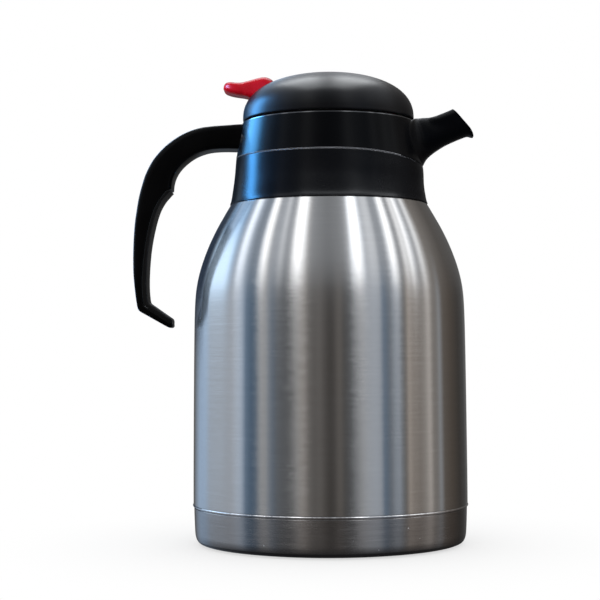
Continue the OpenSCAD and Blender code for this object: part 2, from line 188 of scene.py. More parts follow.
def prism_bm(outline, y0, y1):
    """Outline of (x, z) points, pushed from y0 to y1."""
    bm = bmesh.new()
    a, b = ([new_vert(bm, x, y, z) for x, z in outline] for y in (y0, y1))
    count = len(outline)
    bm.faces.new(a)
    bm.faces.new(b[::-1])
    for i in range(count):
        q = (i + 1) % count
        bm.faces.new((a[i], b[i], b[q], a[q]))
    return bm


def boolean(ob, tool, operation="DIFFERENCE"):
    mod = ob.modifiers.new("b", "BOOLEAN")
    mod.operation, mod.object, mod.solver = operation, tool, "EXACT"
    depsgraph = bpy.context.evaluated_depsgraph_get()
    result = bpy.data.meshes.new_from_object(ob.evaluated_get(depsgraph))
    ob.modifiers.clear()
    old = ob.data
    ob.data = result
    bpy.data.meshes.remove(old)
    bpy.data.objects.remove(tool)


def cut(ob, name, bm):
    boolean(ob, new_object(name, bm, 50))


def mark_faces(bm, test):
    """Second material for the faces whose centre (r, z) passes the test."""
    for face in bm.faces:
        center = face.calc_center_median() / MM
        face.material_index = int(test(math.hypot(center.x, center.y), center.z))


def weight_normals(ob):
    shade(ob, 42)
    ob.modifiers.new("wn", "WEIGHTED_NORMAL").keep_sharp = True


def finish(ob, materials, moves_with, node):
    for material in materials:
        ob.data.materials.append(material)
    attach(ob, moves_with)
    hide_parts(node)


# ------------------------------------------------------------------ shader graphs
class Graph:
    """Short ways to add nodes to a shader tree; values may be numbers, tuples or sockets."""

    def __init__(self, tree):
        self.tree = tree

    def feed(self, socket, value):
        if isinstance(value, tuple):
            socket.default_value = (*value, 1) if socket.type == "RGBA" else value
        elif isinstance(value, (int, float)):
            socket.default_value = value
        else:
            self.tree.links.new(value, socket)

    def node(self, kind, feeds=None, **settings):
        node = self.tree.nodes.new(kind)
        for key, value in settings.items():
            setattr(node, key, value)
        for key, value in (feeds or {}).items():
            self.feed(node.inputs[key], value)
        return node

    def math(self, operation, a, b=0.0):
        return self.node("ShaderNodeMath", {0: a, 1: b}, operation=operation).outputs[0]

    def add(self, a, b):
        return self.math("ADD", a, b)

    def times(self, a, b):
        return self.math("MULTIPLY", a, b)

    def mix(self, factor, a, b):
        feeds = {0: factor, 6: a, 7: b}
        return self.node("ShaderNodeMix", feeds, data_type="RGBA").outputs[2]

    def mix_shader(self, factor, a, b):
        return self.node("ShaderNodeMixShader", {0: factor, 1: a, 2: b}).outputs[0]

    def smooth(self, value, over):
        """Smooth step from 0 to 1 while value goes over a range."""
        feeds = {"From Min": over[0], "From Max": over[1], "Value": value}
        node = self.node("ShaderNodeMapRange", feeds, interpolation_type="SMOOTHSTEP")
        return node.outputs["Result"]

    def ramp(self, value, stops):
        node = self.node("ShaderNodeValToRGB", {"Fac": value})
        elements = node.color_ramp.elements
        while len(elements) > 1:
            elements.remove(elements[-1])
        elements[0].position, elements[0].color = stops[0][0], (*stops[0][1], 1)
        for place, colour in stops[1:]:
            elements.new(place).color = (*colour, 1)
        return node.outputs["Color"]

    def xyz(self, vector):
        return self.node("ShaderNodeSeparateXYZ", {0: vector}).outputs


class Mat(Graph):
    def __init__(self, name):
        self.material = bpy.data.materials.new(name)
        self.material.use_nodes = True
        super().__init__(self.material.node_tree)
        self.principled = self.tree.nodes["Principled BSDF"]
        self.place = self.node("ShaderNodeTexCoord").outputs["Object"]

    def noise(self, scale=1.0, detail=3, rough=0.5, stretch=(1, 1, 1), seed=(0, 0, 0)):
        mapping = self.node("ShaderNodeMapping",
                            {"Scale": stretch, "Location": seed, "Vector": self.place})
        feeds = {"Scale": scale, "Detail": detail, "Roughness": rough,
                 "Vector": mapping.outputs["Vector"]}
        return self.node("ShaderNodeTexNoise", feeds).outputs["Fac"]

    def remap(self, value, to, span=(0.3, 0.7)):
        """Maps span, by default where most of a noise lies, onto the range to."""
        feeds = {"From Min": span[0], "From Max": span[1], "To Min": to[0], "To Max": to[1],
                 "Value": value}
        return self.node("ShaderNodeMapRange", feeds).outputs["Result"]

    def weighted(self, first, *others):
        """Sum of (value, weight) pairs."""
        total = self.times(*first)
        for pair in others:
            total = self.add(total, self.times(*pair))
        return total

    def bump(self, height, distance, strength):
        feeds = {"Strength": strength, "Distance": distance, "Height": height}
        return self.node("ShaderNodeBump", feeds).outputs["Normal"]

    def set(self, **values):
        """Sets Principled inputs; an underscore stands for a space."""
        for key, value in values.items():
            self.feed(self.principled.inputs[key.replace("_", " ")], value)

    def set_surface(self, shader):
        self.feed(self.tree.nodes["Material Output"].inputs["Surface"], shader)


# ------------------------------------------------------------------ materials
def brushed(name, light, dark, rough, aniso, grain=1.0, specks=False, painted_foot_shade=False):
    """Steel brushed round the axis: fine rings of scratches, broken up along their length."""
    mat = Mat(name)
    fine = mat.noise(detail=4, rough=0.6, stretch=(55, 55, 5200))
    mid = mat.noise(rough=0.55, stretch=(28, 28, 1500), seed=(3, 1, 7))
    dash = mat.noise(rough=0.6, stretch=(170, 170, 1100), seed=(1, 6, 4))
    blotch = mat.noise(stretch=(22, 22, 9), seed=(5, 2, 1))
    rings = mat.weighted((fine, 0.6), (mid, 0.4))
    between_tones = tuple((a + b) / 2 for a, b in zip(light, dark))
    colour = mat.ramp(rings, [(0.30, dark), (0.5, between_tones), (0.68, light)])
    colour = mat.mix(mat.remap(blotch, span=(0.35, 0.7), to=(0.0, 0.35)), colour,
                     tuple(c * 0.9 for c in light))
    roughness = mat.add(mat.remap(rings, to=rough), mat.remap(blotch, to=(-0.03, 0.03)))
    height = mat.weighted((fine, 0.7), (mid, 0.6), (dash, 1.5))
    normal = mat.bump(height, distance=0.00004 * grain, strength=0.35)
    if specks:
        # small bright, rougher dots, kept only where a second noise is high
        dots = mat.node("ShaderNodeTexVoronoi",
                        {"Scale": 210, "Randomness": 1.0, "Vector": mat.place}, feature="F1")
        near = mat.math("LESS_THAN", dots.outputs["Distance"], 0.10)
        few = mat.math("GREATER_THAN", mat.noise(scale=140, detail=1, seed=(9, 4, 2)), 0.63)
        speck = mat.times(near, few)
        colour = mat.mix(speck, colour, (0.85, 0.85, 0.86))
        roughness = mat.add(roughness, mat.times(speck, 0.25))
    # painted shade: below about 6.5 mm the colour darkens to near black at the bottom edge, standing
    # in for the dark floor that the rounded steel mirrors
    if painted_foot_shade:
        low = mat.remap(mat.xyz(mat.place)[2], span=(0.001, 0.0065), to=(0.85, 0.0))
        colour = mat.mix(low, colour, (0.045, 0.043, 0.045))
    tangent = mat.node("ShaderNodeTangent", direction_type="RADIAL", axis="Z")
    # scratches that run a little off level leave the tall highlights with ragged edges
    wander = mat.noise(detail=4, rough=0.75, stretch=(120, 120, 620), seed=(7, 2, 5))
    skew = mat.remap(wander, span=(0.28, 0.72), to=(0.25 - 0.035 * grain, 0.25 + 0.035 * grain))
    mat.set(Metallic=1.0, Base_Color=colour, Roughness=roughness, Anisotropic=aniso,
            Anisotropic_Rotation=skew, Tangent=tangent.outputs["Tangent"], Normal=normal)
    return mat.material


def moulded(name, colour, rough, grain=900, depth=0.00003, ior=1.5, coat=0.0, vary=0.35,
            faint=0.0, spout=False):
    """Moulded plastic with a fine grain (depth in metres) and a slightly uneven sheen."""
    mat = Mat(name)
    fine = mat.noise(scale=grain, detail=2)
    big = mat.noise(scale=40, seed=(2, 5, 3))
    paler = tuple(min(1, c * 1.7 + 0.004) for c in colour)
    tone = mat.mix(mat.remap(big, span=(0.35, 0.65), to=(0.0, vary)), colour, paler)
    roughness = mat.add(mat.remap(fine, to=(rough - 0.015, rough + 0.015)),
                        mat.remap(big, to=(-0.02, 0.02)))
    mat.set(Base_Color=tone, IOR=ior, Coat_Weight=coat, Coat_Roughness=0.08,
            Roughness=roughness, Normal=mat.bump(fine, distance=depth, strength=0.5))
    if spout:
        # the spout shines less than the ring it grows from
        out_x = mat.xyz(mat.place)[0]
        mat.set(Specular_IOR_Level=mat.remap(out_x, span=(0.044, 0.056), to=(0.5, 0.18)))
    if faint:
        # the piece's mirror image in the steel is kept faint
        ray = mat.node("ShaderNodeLightPath").outputs["Is Glossy Ray"]
        clear = mat.node("ShaderNodeBsdfTransparent").outputs[0]
        mat.set_surface(mat.mix_shader(mat.times(ray, faint), mat.principled.outputs[0], clear))
    return mat.material


def rubbery(name, colour, rough, subsurface=0.0):
    mat = Mat(name)
    fine = mat.noise(scale=500, rough=0.6)
    tone = mat.mix(mat.remap(mat.noise(scale=60), to=(0.1, 0.9)), colour,
                   tuple(c * 0.82 for c in colour))
    mat.set(Base_Color=tone, Roughness=mat.remap(fine, to=(rough - 0.1, rough + 0.1)),
            Normal=mat.bump(fine, distance=0.00006, strength=0.4))
    if subsurface:
        mat.set(Subsurface_Weight=subsurface, Subsurface_Scale=0.002)
    return mat.material


def plain_metal(name, light, dark, rough, stretch, depth=0.00002):
    mat = Mat(name)
    fine = mat.noise(scale=8, detail=4, rough=0.6, stretch=stretch)
    mat.set(Metallic=1.0,
            Base_Color=mat.mix(mat.remap(fine, span=(0.35, 0.65), to=(0, 1)), dark, light),
            Roughness=mat.remap(fine, to=(rough - 0.06, rough + 0.08)),
            Normal=mat.bump(fine, distance=depth, strength=0.4))
    return mat.material


STEEL = brushed("brushed_body", light=(0.63, 0.62, 0.61), dark=(0.56, 0.55, 0.54),
                rough=(0.13, 0.19), aniso=1.0, grain=0.6)
BASE = brushed("brushed_base", light=(0.42, 0.40, 0.39), dark=(0.32, 0.305, 0.30),
               rough=(0.20, 0.28), aniso=0.92, grain=0.9, specks=True, painted_foot_shade=True)
# painted shade: a near-black copy of the brushed base steel for its bottom edge, standing in for the
# floor's shade mirrored there
BASE_SHADE = brushed("base_edge_painted_shade", light=(0.10, 0.095, 0.10), dark=(0.05, 0.05, 0.05),
                    rough=(0.35, 0.5), aniso=0.4, grain=1.2)
EDGE = plain_metal("polished_bead", light=(0.93, 0.92, 0.92), dark=(0.62, 0.6, 0.6),
                   rough=0.16, stretch=(120, 120, 10))
LINER = brushed("liner_steel", light=(0.7, 0.7, 0.7), dark=(0.56, 0.56, 0.56),
                rough=(0.22, 0.34), aniso=0.5)
BLACK = moulded("black_satin", (0.0008, 0.0010, 0.0016), rough=0.25, depth=0.000003, ior=1.165,
                vary=0.1, spout=True)
BLACK_DOME = moulded("black_dome", (0.0016, 0.0017, 0.0027), rough=0.33, grain=700,
                     depth=0.000006, ior=1.29, vary=0.1)
BLACK_HANDLE = moulded("black_handle", (0.0003, 0.0003, 0.0005), rough=0.30, depth=0.000012,
                       ior=1.155, vary=0.2, faint=0.7)
COVER = moulded("black_cover", (0.0016, 0.0016, 0.0018), rough=0.42, grain=600, ior=1.27,
                vary=0.3, faint=0.7)
# painted highlight: a lighter grey, noise-varied plastic for the narrow edge faces along the joint,
# standing in for the light that edge catches
JOINT_HIGHLIGHT = moulded("joint_edge_painted_highlight", (0.16, 0.165, 0.18), rough=0.22, grain=300, ior=1.6, coat=0.4,
               vary=1.0)
# glossier plastic for the rim's bevel; its lighter colour is a painted highlight along the rim's top
# edge
RIM_HIGHLIGHT = moulded("rim_edge_painted_highlight", (0.012, 0.0125, 0.015), rough=0.16, grain=400, depth=0.00001,
              ior=1.6, coat=0.3)
PLUG = moulded("plug_plastic", (0.02, 0.02, 0.021), rough=0.45)
WHITE = moulded("white_plastic", (0.72, 0.72, 0.70), rough=0.35, grain=500, depth=0.00002,
                ior=1.48)
RED = moulded("red_gloss", (0.165, 0.0001, 0.0016), rough=0.27, grain=400, depth=0.000006,
              ior=1.27, vary=0.15)
SILICONE = rubbery("silicone", (0.74, 0.74, 0.71), rough=0.45, subsurface=0.15)
RUBBER = rubbery("black_rubber", (0.015, 0.015, 0.016), rough=0.7)
WIRE = plain_metal("spring_wire", light=(0.8, 0.8, 0.8), dark=(0.55, 0.55, 0.55),
                   rough=0.22, stretch=(300, 300, 300))
SCREW = plain_metal("screw_steel", light=(0.78, 0.78, 0.8), dark=(0.6, 0.6, 0.62),
                    rough=0.25, stretch=(200, 200, 200))
SOLDER = plain_metal("solder", light=(0.5, 0.5, 0.5), dark=(0.3, 0.3, 0.3),
                     rough=0.5, stretch=(100, 100, 100), depth=0.0001)
GETTER = plain_metal("getter_metal", light=(0.3, 0.29, 0.28), dark=(0.16, 0.15, 0.15),
                     rough=0.6, stretch=(150, 150, 150), depth=0.0001)

# ------------------------------------------------------------------ steel body
R = 75.0          # body radius
SEAM = 20.6       # height of the seam between body and base cup
NECK_R = 40
SHEET = 0.6       # thickness of the steel
BODY_SEGMENTS = 256
# (inset from R, z) up the wall, over the shoulder and into the neck
WALL = [(0, 22.2), (0.02, 36), (0.1, 50), (0.3, 80), (0.55, 105), (0.85, 123), (1.35, 134),
        (2.25, 141.3), (3.95, 148.8), (6.35, 156.2), (9.35, 163.7), (12.95, 171.2),
        (16.9, 178.3), (20.9, 185.1), (25.2, 191.8), (29.6, 197.6), (32.9, 201.2),
        (34.6, 204), (35, 207), (35, 211), (35, 212.7)]


def build_body():
    outer = spline([(R - inset, z) for inset, z in WALL], 6)
    lip = arc(NECK_R - 0.2, 214.3, 1.6, -82, 82, 10) + [(NECK_R, 216.05), (NECK_R, 217.5)]
    bead = ([(R - 0.62, SEAM + 0.12), (R - 0.3, SEAM + 0.02)]
            + arc(R - 0.17, SEAM + 0.5, 0.5, -80, 78, 8) + [(R - 0.01, SEAM + 1.15)])
    inner = ([(R - 0.62, SEAM + 0.3)] + offset_left(outer, SHEET)[1:]
             + [(NECK_R - SHEET, 217.5)])
    bm = lathe_bm(bead + outer + lip + inner[::-1], BODY_SEGMENTS)
    mark_faces(bm, lambda r, z: z < SEAM + 1.0 and r > R - 0.35)
    body = new_object("steel_body_shell", bm, 50)
    finish(body, [STEEL, EDGE], "flask", "outer_shell")


# outside of the base cup below its rounded top edge, (r, z)
CUP_SIDE = [(R - 0.4, SEAM - 1.05), (R - 0.45, 17), (R - 0.65, 11), (R - 0.88, 6.6),
            (R - 1.12, 4.6), (73.3, 2.7), (72.3, 1.35), (70.7, 0.66), (69.4, 0.62)]
# underside to the axis, then the inside back up, (r, z)
CUP_INSIDE = [(68.3, 0.7), (67.6, 1.4), (0, 1.4), (0, 2.1), (68.2, 2.1), (69.6, 1.5), (71.4, 2.3),
              (72.6, 3.9), (R - 1.6, 5.6), (R - 1.45, 8), (R - 1.4, 17), (R - 1.4, 26.8)]


def build_base_cup():
    top = ([(R - 0.7, 26.8), (R - 0.7, 20.9), (R - 0.68, SEAM - 0.42)]
           + arc(R - 0.9, SEAM - 0.92, 0.5, 80, 5, 4))
    bm = lathe_bm(top + spline(CUP_SIDE, 5) + CUP_INSIDE, BODY_SEGMENTS)
    # the bottom edge and underside ring take the painted-shade copy
    mark_faces(bm, lambda r, z: z < 2.6 and r > 66)
    cup = new_object("base_cup_skin", bm, 50)
    finish(cup, [BASE, BASE_SHADE], "flask", "base_cup")


build_body()
build_base_cup()

# ------------------------------------------------------------------ head: collar
HEAD_SEGMENTS = 224
JOINT_R, JOINT_Z = 51.05, 210.7    # joint between collar and spout ring
DIP = 5.0                          # how far the joint drops under the spout
BEND_Z = 190                       # the collar follows the dip above this height
# outside of the collar, (r, z)
FLARE = [(54.5, 185.55), (53.95, 187.1), (53.45, 189.6), (52.75, 194.2), (52.12, 198.6),
         (51.66, 203), (51.32, 207), (51.12, 209.6)]
# rounded top edge, then down the inside to the flare's foot, (r, z)
COLLAR_INSIDE = [(51.1, 210.1), (51.0, 210.4), (50.8, 210.55), (50.5, 210.6), (48.9, 210.6),
                 (49, 203.5), (47, 203.5), (47, 218.4), (45, 218.4), (45, 212.3), (40.3, 212.3),
                 (40.3, 210.2), (45, 208.6), (45, 201.5), (49.2, 201.5), (49.2, 196),
                 (49.9, 193.2), (51.2, 191), (53.1, 187.7)]


def joint_z(x):
    return JOINT_Z - (DIP * min(x / JOINT_R, 1) ** 2.5 if x > 0 else 0)


def swell(x, y, z):
    """How far the head stands out under the spout."""
    toward_spout = max(0.0, x / math.hypot(x, y))
    t = min(max((z - 192.0) / 12.5, 0.0), 1.0)
    return 1.05 * toward_spout ** 1.5 * t * t * (3 - 2 * t)


def build_collar():
    outside = [(54.1, 185.35), (54.4, 185.38)] + spline(FLARE, 5)
    edge = len(outside)    # first point of COLLAR_INSIDE

    def warp(i, x, y, z):
        if i >= edge + 5:
            return 0.0, z
        drop = JOINT_Z - joint_z(x)
        new_z = z - drop * max(0.0, (z - BEND_Z) / (JOINT_Z - BEND_Z)) ** 1.5
        return swell(x, y, new_z), new_z

    bm = lathe_bm(outside + COLLAR_INSIDE, HEAD_SEGMENTS, warp)
    # the two face rows on the rounded top edge take the joint material with its painted highlight
    for k, face in enumerate(bm.faces):
        face.material_index = int(edge + 1 <= k // HEAD_SEGMENTS <= edge + 2)
    collar = new_object("lower_collar", bm, 60)
    finish(collar, [BLACK, JOINT_HIGHLIGHT], "flask", "collar")
    return collar


# ------------------------------------------------------------------ head: ring with spout
RIM_R, RIM_Z = 47.5, 230.7    # top edge of the ring
RIM_ROUND = 0.75
TAPER = 0.18394               # radius lost per mm of height
WRAP_R = 50                   # radius that the spout's root wraps round
# Stations outward along X:
# top x, top z, bottom x, bottom z, half width, how far the section wraps round the ring
SPOUT = [(44.6, 231.5, 47.6, 209.4, 26.5, 1.0), (46.6, 231.8, 50.2, 207.2, 25.2, 1.0),
         (47.75, 232.35, 51.4, 206.3, 22.2, 1.0), (48.5, 232.55, 52.3, 206.8, 19.5, 1.0),
         (49.8, 232.65, 53.1, 208.4, 16.9, 0.95), (52.1, 232.95, 54.6, 210.6, 14.7, 0.85),
         (55.4, 233.15, 57.3, 213.1, 13.1, 0.6), (58.7, 233.9, 60.7, 215.5, 12.0, 0.35),
         (62.0, 235.15, 64.5, 217.8, 11.2, 0.15), (65.4, 236.5, 68.9, 219.85, 10.6, 0.0),
         (68.8, 238.0, 73.2, 221.6, 10.1, 0.0), (71.3, 239.2, 76.7, 222.75, 9.7, 0.0),
         (73.2, 240.2, 78.8, 222.3, 9.5, 0.0), (76.0, 241.6, 81.5, 221.9, 9.4, 0.0)]
CHANNEL = [(41.5, 229.6, 41.5, 222.6, 14.0, 0.3), (47.0, 229.6, 47.6, 221.9, 13.2, 0.3),
           (52.0, 230.3, 54.0, 216.9, 12.0, 0.3), (57.0, 231.5, 60.0, 218.3, 10.4, 0.2),
           (64.0, 234.1, 67.2, 221.5, 8.9, 0.0), (71.0, 237.4, 75.2, 224.0, 8.1, 0.0),
           (78.0, 241.4, 84.0, 226.2, 7.8, 0.0), (86, 247, 94, 230, 7.8, 0.0)]
# (x, z) outline that trims the spout's end to its mouth
MOUTH = [(65.6, 241.35), (68.4, 237.75), (73.4, 231.3), (77.4, 226.7), (78.35, 225.4),
         (79.2, 224.0), (79.8, 222.6), (79.6, 219), (100, 212), (100, 260), (60, 260)]
BORE = [(0, 200), (47.45, 200), (47.45, 219.2), (45.0, 219.2), (45.0, 232), (0, 232)]
DOME_ROOM = [(0, RIM_Z - 0.02), (47.55, RIM_Z - 0.02), (47.7, 231.2), (47.9, 250), (0, 250)]


def spout_loft(stations, count, power):
    sections = []
    for top_x, top_z, low_x, low_z, half_width, wrap in spline(stations, 4):
        mid_x, mid_z = (top_x + low_x) / 2, (top_z + low_z) / 2
        half_x, half_z = (top_x - low_x) / 2, (top_z - low_z) / 2
        loop = []
        for k in range(count):
            angle = 2 * math.pi * k / count
            u = squared(math.cos(angle), power)
            y = half_width * (1 - 0.10 * u) * squared(math.sin(angle), power)
            bend = WRAP_R - math.sqrt(max(WRAP_R ** 2 - y * y, 0))
            loop.append((mid_x + half_x * u - wrap * bend, y, mid_z + half_z * u))
        sections.append(loop)
    return loft_bm(sections)


def build_ring():
    cone = [(JOINT_R - 0.25, JOINT_Z + 0.12), (JOINT_R - 0.07, JOINT_Z + 0.3),
            (JOINT_R - 0.06, JOINT_Z + 0.6)]
    cone += [(JOINT_R - TAPER * rise, JOINT_Z + rise) for rise in (3, 7, 11, 15)]
    warped = len(cone)
    cone += [(RIM_R + 0.16, 229.1), (RIM_R, RIM_Z - RIM_ROUND)]
    rim = arc(RIM_R - RIM_ROUND, RIM_Z - RIM_ROUND, RIM_ROUND, 8, 90, 5)
    inside = [(44.75, RIM_Z), (44.5, RIM_Z - 0.25), (44.5, 221.5), (38.2, 221.5), (38.2, 219),
              (47.2, 219), (47.2, JOINT_Z + 0.12)]

    def warp(i, x, y, z):
        drop = JOINT_Z - joint_z(x)
        if i < warped:
            grow = swell(x, y, 210.0) * max(0.0, 1 - (z - JOINT_Z) / 11) ** 1.2
            return grow, z - drop * max(0.0, (JOINT_Z + 12 - z) / 12) ** 1.3
        return 0.0, z - drop if z < JOINT_Z + 1 else z

    ring = new_object("spout_ring_body", lathe_bm(cone + rim + inside, HEAD_SEGMENTS, warp), 50)
    spout = new_object("spout_tmp", spout_loft(SPOUT, count=56, power=2.5), 50)
    channel = new_object("channel_tmp", spout_loft(CHANNEL, count=40, power=2.3), 50)
    cut(spout, "mouth_tmp", prism_bm(MOUTH, -40, 40))
    # the spout stays clear of the bore that the lid turns in, and of the dome
    cut(spout, "bore_tmp", lathe_bm(BORE, HEAD_SEGMENTS))
    cut(spout, "dome_room_tmp", lathe_bm(DOME_ROOM, HEAD_SEGMENTS))
    boolean(ring, spout, "UNION")
    boolean(ring, channel)
    # socket behind the handle's root
    cut(ring, "socket_tmp", box_bm((-51.8, -7.1, 218.3), (-47.2, 7.1, 227.5)))
    ring.name = "spout_ring_with_spout"
    # faces at the ring's lower edge by the joint take the joint material with its painted highlight,
    # and the rim's bevel the rim material with its painted highlight
    for face in ring.data.polygons:
        x, y, z = face.center / MM
        out = math.hypot(x, y)
        if z < joint_z(x) + 0.34 and out > 50.6:
            face.material_index = 1
        elif 229.9 < z < RIM_Z - 0.03 and 46.8 < out < 47.6:
            face.material_index = 2
    weight_normals(ring)
    finish(ring, [BLACK, JOINT_HIGHLIGHT, RIM_HIGHLIGHT], "flask", "spout_ring")
    return ring


collar = build_collar()
ring = build_ring()

# ------------------------------------------------------------------ handle and its cover
# Stations down the handle: outer x, outer z, inner x, inner z, half width
ARCH = [(-46.0, 230.4, -47.6, 214.6, 11.9), (-50.0, 230.35, -50.8, 214.7, 11.6),
        (-57.0, 229.9, -56.5, 214.8, 11.5), (-64.5, 229.4, -61.8, 214.6, 11.5),
        (-71.5, 228.4, -66.5, 213.9, 11.5), (-78.5, 226.1, -71.5, 212.2, 11.5),
        (-85.3, 222.3, -75.8, 209.7, 11.5), (-91.5, 217.3, -79.6, 206.5, 11.5),
        (-97.0, 210.9, -82.3, 203.3, 11.5), (-101.1, 203.2, -84.2, 199.7, 11.5),
        (-103.4, 196.3, -85.1, 196.2, 11.5), (-104.4, 192.6, -85.4, 193.0, 11.5)]
GRIP = [(-104.4, 192.6, -85.4, 192.2, 11.5), (-105.3, 188.6, -87.2, 190.3, 11.5),
        (-106.2, 183.2, -90.0, 187.0, 11.5), (-107.1, 177.0, -92.6, 182.4, 11.5),
        (-107.7, 170.5, -94.6, 176.6, 11.4), (-108.1, 163.0, -96.4, 169.0, 11.3),
        (-108.25, 155.5, -97.8, 160.8, 11.2), (-108.1, 148.5, -98.6, 152.5, 11.0),
        (-107.5, 141.5, -98.98, 144.5, 10.8), (-106.8, 135.4, -98.9, 138.2, 10.6),
        (-106.2, 131.2, -98.5, 133.6, 10.4)]
BEND = [(-106.2, 131.2, -98.5, 133.6, 10.4), (-105.75, 129.0, -98.25, 132.3, 10.35),
        (-105.0, 127.5, -97.95, 131.5, 10.3), (-103.7, 126.5, -97.4, 130.9, 10.25)]
TAIL = [(-103.7, 126.5, -97.4, 130.9, 10.25), (-99.5, 124.15, -94.6, 128.95, 10.1),
        (-95.0, 121.6, -90.2, 125.8, 9.9), (-91.5, 119.6, -87.3, 123.8, 9.7),
        (-89.3, 118.4, -86.0, 122.9, 9.3), (-88.1, 117.95, -85.4, 122.2, 8.8),
        (-87.2, 118.1, -85.15, 121.3, 8.2), (-86.5, 118.8, -85.3, 120.5, 7.4)]
# both outlines are scaled about the axis at EASE_Z, the outer one down and the inner one up
EASE_Z = 105.4
OUTER_EASE, INNER_EASE, WIDTH_EASE = 1.0055, 1.0112, 0.87
TIP_COUNT = 9       # stations past the end of the cover
COVER_DEPTH = 2.8   # what the grip leaves free for the cover


def eased(station):
    outer_x, outer_z, inner_x, inner_z, half_width = station
    return (outer_x / OUTER_EASE, EASE_Z + (outer_z - EASE_Z) / OUTER_EASE,
            inner_x * INNER_EASE, EASE_Z + (inner_z - EASE_Z) * INNER_EASE,
            half_width * WIDTH_EASE)


def stand(station, loop=None, inset=0.0, r_in=1.4, r_out=3.0):
    """Stands a loop of (u, v) in the station's plane, u running from inner to outer point.

    Without a loop it is the handle's own section, starting at inset.
    """
    outer_x, outer_z, inner_x, inner_z, half_width = station
    run_x, run_z = outer_x - inner_x, outer_z - inner_z
    length = math.hypot(run_x, run_z)
    unit_x, unit_z = run_x / length, run_z / length
    if loop is None:
        start = min(inset, length * 0.4)
        limit = (length - start) * 0.45
        loop = rounded_rect(start, length, half_width, min(r_in, limit), min(r_out, limit))
    return [(inner_x + unit_x * u, v, inner_z + unit_z * u) for u, v in loop]


upper = [eased(q) for q in spline(ARCH, 5)]
lower = [eased(q) for q in spline(GRIP, 5)[:-1] + spline(BEND, 4)[:-1] + spline(TAIL, 4)]
cover_end = len(lower) - TIP_COUNT

sections = [stand(q, r_in=2.4, r_out=3.4) for q in upper]
sections += [stand(q, inset=COVER_DEPTH, r_in=1.0, r_out=3.4) for q in lower[:cover_end + 1]]
tip = lower[cover_end:]
# the step back to full depth takes a small part of the first interval
sections.append(stand(tuple(a + (b - a) * 0.04 for a, b in zip(tip[0], tip[1]))))
sections += [stand(q) for q in tip[1:]]
handle = new_object("handle_grip", loft_bm(sections), 45)
finish(handle, [BLACK_HANDLE], "flask", "handle")

sections = [stand(q, rounded_rect(0.0, 2.62, q[4] - 0.12, 1.1, 0.25))
            for q in lower[1:cover_end]]
cover = new_object("handle_finger_cover", loft_bm(sections), 45)
finish(cover, [COVER], "flask", "handle_cover")

# ------------------------------------------------------------------ domed cap
DOME_R, DOME_Z, DOME_H = 47.2, 231.6, 25.9
DOME_SIDE = 1.2     # height of the edge below the curve
# (x, z) outline of the lever's slot
SLOT = [(-60, 240.3), (-29.2, 240.3), (-27.9, 241.2), (-27.6, 242.4), (-27.6, 270), (-60, 270)]


def dome_curve(radius, base_z, height, angles):
    return [(radius * math.cos(math.radians(a)) ** (2 / 2.24),
             base_z + height * math.sin(math.radians(a)) ** (2 / 2.363)) for a in angles]


def build_dome():
    outside = [(DOME_R - 0.75, DOME_Z), (DOME_R - 0.35, DOME_Z + 0.07),
               (DOME_R - 0.1, DOME_Z + 0.3), (DOME_R, DOME_Z + 0.7)]
    outside += dome_curve(DOME_R, DOME_Z + DOME_SIDE, DOME_H - DOME_SIDE,
                          [0, 1.5, 3, 5, 7.5] + list(range(10, 90, 3)) + [89.3])
    outside.append((0, DOME_Z + DOME_H))
    inside = [(44.95, DOME_Z), (44.95, 233.6)]
    inside += dome_curve(45.0, 233.6, DOME_H - 4.2, range(4, 80, 5))
    inside += [(7.2, 255.1), (7.1, 250.5), (5.5, 250.5), (5.5, 255.1), (0, 255.1)]
    dome = new_object("dome_cap_skin", lathe_bm(outside + inside[::-1], HEAD_SEGMENTS), 50)
    cut(dome, "slot_tmp", prism_bm(SLOT, -8.5, 8.5))
    weight_normals(dome)
    finish(dome, [BLACK_DOME], "lid", "dome_cap")
    return dome


# ------------------------------------------------------------------ thumb lever
# Stations from the pad inward: x, top z, underside z, half width
LEVER = [(-57.7, 249.7, 249.2, 5.6), (-57.4, 251.3, 248.5, 7.2), (-56.8, 252.4, 247.9, 8.2),
         (-55.8, 253.2, 247.3, 8.9), (-53.8, 253.65, 246.6, 9.4), (-51.2, 253.5, 246.0, 9.5),
         (-48.2, 253.35, 245.5, 9.2), (-45.0, 253.85, 244.95, 8.6), (-41.6, 254.9, 243.9, 8.1),
         (-38.3, 255.8, 242.65, 8.0), (-35.4, 256.2, 241.6, 8.0), (-32.8, 255.7, 240.8, 8.0),
         (-30.6, 254.2, 240.2, 8.0), (-28.9, 251.4, 239.5, 8.0), (-27.2, 247.6, 238.8, 8.0),
         (-24.2, 243.5, 237.3, 8.0), (-19.6, 240.1, 234.9, 8.0), (-14, 238, 232.7, 8.0),
         (-9, 237.2, 231.95, 8.0), (-4, 237.3, 231.9, 8.0), (-1.5, 237.45, 231.75, 8.0),
         (0, 237.55, 231.65, 8.0), (1.5, 237.2, 231.95, 8.0), (2.6, 236.2, 233.0, 8.0),
         (3.0, 235.0, 234.2, 7.6)]
PIN_X, PIN_Z, PIN_R, PIN_HALF = -31, 243.8, 1.56, 14


def lever_section(x, top, under, half_width, count=48):
    mid, half = (top + under) / 2, (top - under) / 2
    power = 3.6 if x > -46 else 2.9
    dish = 0.5 * max(0.0, 1 - abs(x + 51.5) / 4.5)    # hollow in the top of the pad
    loop = []
    for k in range(count):
        angle = 2 * math.pi * k / count
        y = half_width * squared(math.cos(angle), power)
        z = mid + half * squared(math.sin(angle), power)
        if math.sin(angle) > 0.2:
            z -= dish * (1 - (y / half_width) ** 2)
        loop.append((x, y, z))
    return loop


